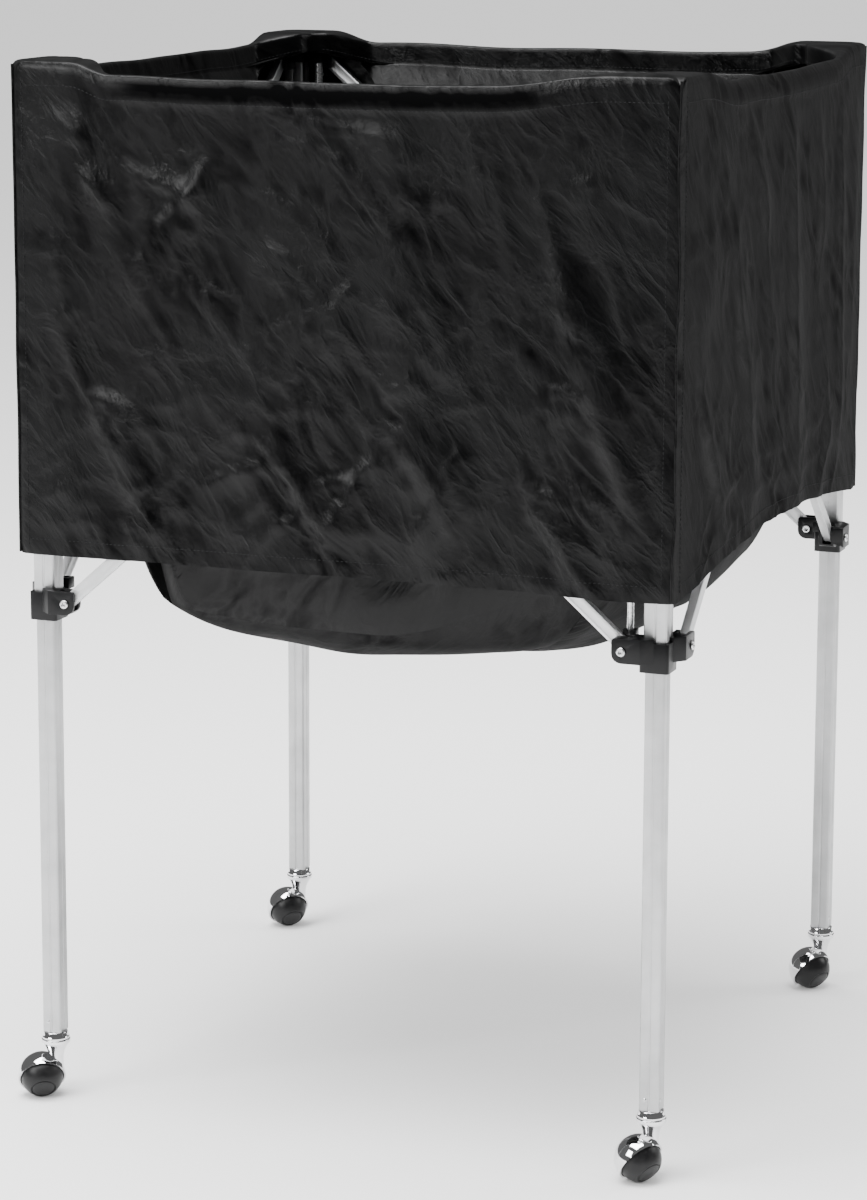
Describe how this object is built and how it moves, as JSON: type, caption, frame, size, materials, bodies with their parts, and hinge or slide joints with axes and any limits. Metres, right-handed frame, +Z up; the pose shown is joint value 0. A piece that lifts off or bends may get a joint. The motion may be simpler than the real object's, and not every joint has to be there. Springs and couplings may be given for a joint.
{
  "type": "collapsible ball cart",
  "caption": "Folding ball cart: telescoping square legs on ball casters, crossed arm pairs on each side, and a black cloth basket with a hanging cover.",
  "frame": {"origin": "on the floor, under the middle of the bounding box", "axes": "+Z up; -Y is the front, the wide side that faces the camera in the picture; +X is to the right as seen from the front"},
  "size_m": [0.6526, 0.6512, 0.985],
  "materials": {
    "aluminium": "satin drawn",
    "steel": "zinc plated",
    "chrome": "bright",
    "moulding": "fine satin black",
    "wheel": "black, half gloss",
    "nylon": "plain woven black nylon"
  },
  "bodies": {
    "lower_fl": {"lower_tube_fl": "aluminium", "collar_fl": "moulding", "caster_stem_fl": "chrome", "collar_bolt_a_fl": "steel", "collar_bolt_b_fl": "steel"},
    "upper_fl": {"upper_tube_fl": "aluminium", "top_bracket_fl": "moulding", "bag_front": "nylon", "bag_left": "nylon"},
    "lower_fr": {"lower_tube_fr": "aluminium", "collar_fr": "moulding", "caster_stem_fr": "chrome", "collar_bolt_a_fr": "steel", "collar_bolt_b_fr": "steel", "strut_rod_fr": "steel"},
    "upper_fr": {"upper_tube_fr": "aluminium", "top_bracket_fr": "moulding", "strut_tube_fr": "steel", "bag_right": "nylon"},
    "lower_rr": {"lower_tube_rr": "aluminium", "collar_rr": "moulding", "caster_stem_rr": "chrome", "collar_bolt_a_rr": "steel", "collar_bolt_b_rr": "steel"},
    "upper_rr": {"upper_tube_rr": "aluminium", "top_bracket_rr": "moulding"},
    "lower_rl": {"lower_tube_rl": "aluminium", "collar_rl": "moulding", "caster_stem_rl": "chrome", "collar_bolt_a_rl": "steel", "collar_bolt_b_rl": "steel", "strut_rod_rl": "steel"},
    "upper_rl": {"upper_tube_rl": "aluminium", "top_bracket_rl": "moulding", "strut_tube_rl": "steel", "bag_back": "nylon"},
    "arm_outer_front": {"arm_outer_front": "aluminium", "cross_bolt_front": "steel"},
    "arm_inner_front": {"arm_inner_front": "aluminium"},
    "floor_front": {"bag_floor_front": "nylon"},
    "arm_outer_right": {"arm_outer_right": "aluminium", "cross_bolt_right": "steel"},
    "arm_inner_right": {"arm_inner_right": "aluminium"},
    "floor_right": {"bag_floor_right": "nylon"},
    "arm_outer_back": {"arm_outer_back": "aluminium", "cross_bolt_back": "steel"},
    "arm_inner_back": {"arm_inner_back": "aluminium"},
    "floor_back": {"bag_floor_back": "nylon"},
    "arm_outer_left": {"arm_outer_left": "aluminium", "cross_bolt_left": "steel"},
    "arm_inner_left": {"arm_inner_left": "aluminium"},
    "floor_left": {"bag_floor_left": "nylon"},
    "hood_fl": {"caster_hood_fl": "chrome"},
    "wheel_fl": {"caster_wheel_fl": "wheel"},
    "hood_fr": {"caster_hood_fr": "chrome"},
    "wheel_fr": {"caster_wheel_fr": "wheel"},
    "hood_rr": {"caster_hood_rr": "chrome"},
    "wheel_rr": {"caster_wheel_rr": "wheel"},
    "hood_rl": {"caster_hood_rl": "chrome"},
    "wheel_rl": {"caster_wheel_rl": "wheel"}
  },
  "joints": [
    {"name": "fold", "type": "hinge", "parent": "lower_fl", "child": "arm_outer_front", "pos_m": [-0.26546, -0.30766, 0.485], "axis": [0, -1, 0], "range_deg": [0, 44], "deforming": ["bag_front", "bag_back", "bag_left", "bag_right", "bag_floor_front", "bag_floor_back", "bag_floor_left", "bag_floor_right"]},
    {"name": "pivot_outer_front_top", "type": "hinge", "parent": "arm_outer_front", "child": "upper_fr", "pos_m": [0.27454, -0.30766, 0.957], "axis": [0, -1, 0], "range_deg": [-44, 0]},
    {"name": "cross_front", "type": "hinge", "parent": "arm_outer_front", "child": "arm_inner_front", "pos_m": [0.00454, -0.30316, 0.721], "axis": [0, -1, 0], "range_deg": [-88, 0]},
    {"name": "pivot_inner_front_low", "type": "hinge", "parent": "arm_inner_front", "child": "lower_fr", "pos_m": [0.27454, -0.29866, 0.485], "axis": [0, -1, 0], "range_deg": [0, 44]},
    {"name": "pivot_inner_front_top", "type": "hinge", "parent": "arm_inner_front", "child": "upper_fl", "pos_m": [-0.26546, -0.29866, 0.957], "axis": [0, -1, 0], "range_deg": [0, 44]},
    {"name": "pivot_outer_right_low", "type": "hinge", "parent": "lower_fr", "child": "arm_outer_right", "pos_m": [0.31604, -0.26616, 0.485], "axis": [1, 0, 0], "range_deg": [0, 44]},
    {"name": "pivot_outer_right_top", "type": "hinge", "parent": "arm_outer_right", "child": "upper_rr", "pos_m": [0.31604, 0.27384, 0.957], "axis": [1, 0, 0], "range_deg": [-44, 0]},
    {"name": "cross_right", "type": "hinge", "parent": "arm_outer_right", "child": "arm_inner_right", "pos_m": [0.31154, 0.00384, 0.721], "axis": [1, 0, 0], "range_deg": [-88, 0]},
    {"name": "pivot_inner_right_low", "type": "hinge", "parent": "arm_inner_right", "child": "lower_rr", "pos_m": [0.30704, 0.27384, 0.485], "axis": [1, 0, 0], "range_deg": [0, 44]},
    {"name": "pivot_inner_left_low", "type": "hinge", "parent": "lower_fl", "child": "arm_inner_left", "pos_m": [-0.29796, -0.26616, 0.485], "axis": [1, 0, 0], "range_deg": [0, 44]},
    {"name": "pivot_inner_left_top", "type": "hinge", "parent": "arm_inner_left", "child": "upper_rl", "pos_m": [-0.29796, 0.27384, 0.957], "axis": [1, 0, 0], "range_deg": [-44, 0]},
    {"name": "cross_left", "type": "hinge", "parent": "arm_inner_left", "child": "arm_outer_left", "pos_m": [-0.30246, 0.00384, 0.721], "axis": [1, 0, 0], "range_deg": [-88, 0]},
    {"name": "pivot_outer_left_low", "type": "hinge", "parent": "arm_outer_left", "child": "lower_rl", "pos_m": [-0.30696, 0.27384, 0.485], "axis": [1, 0, 0], "range_deg": [0, 44]},
    {"name": "pivot_inner_back_low", "type": "hinge", "parent": "lower_rl", "child": "arm_inner_back", "pos_m": [-0.26546, 0.30634, 0.485], "axis": [0, -1, 0], "range_deg": [0, 44]},
    {"name": "cross_back", "type": "hinge", "parent": "arm_inner_back", "child": "arm_outer_back", "pos_m": [0.00454, 0.31084, 0.721], "axis": [0, -1, 0], "range_deg": [-88, 0]},
    {"name": "floor_seam_front", "type": "hinge", "parent": "upper_fl", "child": "floor_front", "pos_m": [0.00454, -0.21716, 0.45485], "axis": [-1, 0, 0], "range_deg": [0, 85]},
    {"name": "floor_seam_right", "type": "hinge", "parent": "upper_fr", "child": "floor_right", "pos_m": [0.22554, 0.00384, 0.45485], "axis": [0, -1, 0], "range_deg": [0, 85]},
    {"name": "floor_seam_back", "type": "hinge", "parent": "upper_rl", "child": "floor_back", "pos_m": [0.00454, 0.22484, 0.45485], "axis": [1, 0, 0], "range_deg": [0, 85]},
    {"name": "floor_seam_left", "type": "hinge", "parent": "upper_fl", "child": "floor_left", "pos_m": [-0.21646, 0.00384, 0.45485], "axis": [0, 1, 0], "range_deg": [0, 85]},
    {"name": "swivel_fl", "type": "hinge", "parent": "lower_fl", "child": "hood_fl", "pos_m": [-0.29246, -0.29316, 0.0526], "axis": [0, 0, 1], "continuous": true},
    {"name": "roll_fl", "type": "hinge", "parent": "hood_fl", "child": "wheel_fl", "pos_m": [-0.3042, -0.30079, 0.0203], "axis": [0.4474, -0.6889, -0.5703], "continuous": true},
    {"name": "swivel_fr", "type": "hinge", "parent": "lower_fr", "child": "hood_fr", "pos_m": [0.30154, -0.29316, 0.0526], "axis": [0, 0, 1], "continuous": true},
    {"name": "roll_fr", "type": "hinge", "parent": "hood_fr", "child": "wheel_fr", "pos_m": [0.29454, -0.30529, 0.0203], "axis": [0.7114, -0.4107, -0.5703], "continuous": true},
    {"name": "swivel_rr", "type": "hinge", "parent": "lower_rr", "child": "hood_rr", "pos_m": [0.30154, 0.30084, 0.0526], "axis": [0, 0, 1], "continuous": true},
    {"name": "roll_rr", "type": "hinge", "parent": "hood_rr", "child": "wheel_rr", "pos_m": [0.29412, 0.28897, 0.0203], "axis": [0.6966, -0.4353, -0.5703], "continuous": true},
    {"name": "swivel_rl", "type": "hinge", "parent": "lower_rl", "child": "hood_rl", "pos_m": [-0.29246, 0.30084, 0.0526], "axis": [0, 0, 1], "continuous": true},
    {"name": "roll_rl", "type": "hinge", "parent": "hood_rl", "child": "wheel_rl", "pos_m": [-0.30236, 0.29094, 0.0203], "axis": [0.5809, -0.5809, -0.5703], "continuous": true}
  ],
  "couplings": [
    {"joint": "pivot_outer_front_top", "follows": "fold", "ratio": -1},
    {"joint": "cross_front", "follows": "fold", "ratio": -2},
    {"joint": "pivot_inner_front_low", "follows": "fold", "ratio": 1},
    {"joint": "pivot_inner_front_top", "follows": "fold", "ratio": 1},
    {"joint": "pivot_outer_right_low", "follows": "fold", "ratio": 1},
    {"joint": "pivot_outer_right_top", "follows": "fold", "ratio": -1},
    {"joint": "cross_right", "follows": "fold", "ratio": -2},
    {"joint": "pivot_inner_right_low", "follows": "fold", "ratio": 1},
    {"joint": "pivot_inner_left_low", "follows": "fold", "ratio": 1},
    {"joint": "pivot_inner_left_top", "follows": "fold", "ratio": -1},
    {"joint": "cross_left", "follows": "fold", "ratio": -2},
    {"joint": "pivot_outer_left_low", "follows": "fold", "ratio": 1},
    {"joint": "pivot_inner_back_low", "follows": "fold", "ratio": 1},
    {"joint": "cross_back", "follows": "fold", "ratio": -2},
    {"joint": "floor_seam_front", "follows": "fold", "ratio": 1.9318},
    {"joint": "floor_seam_right", "follows": "fold", "ratio": 1.9318},
    {"joint": "floor_seam_back", "follows": "fold", "ratio": 1.9318},
    {"joint": "floor_seam_left", "follows": "fold", "ratio": 1.9318}
  ]
}
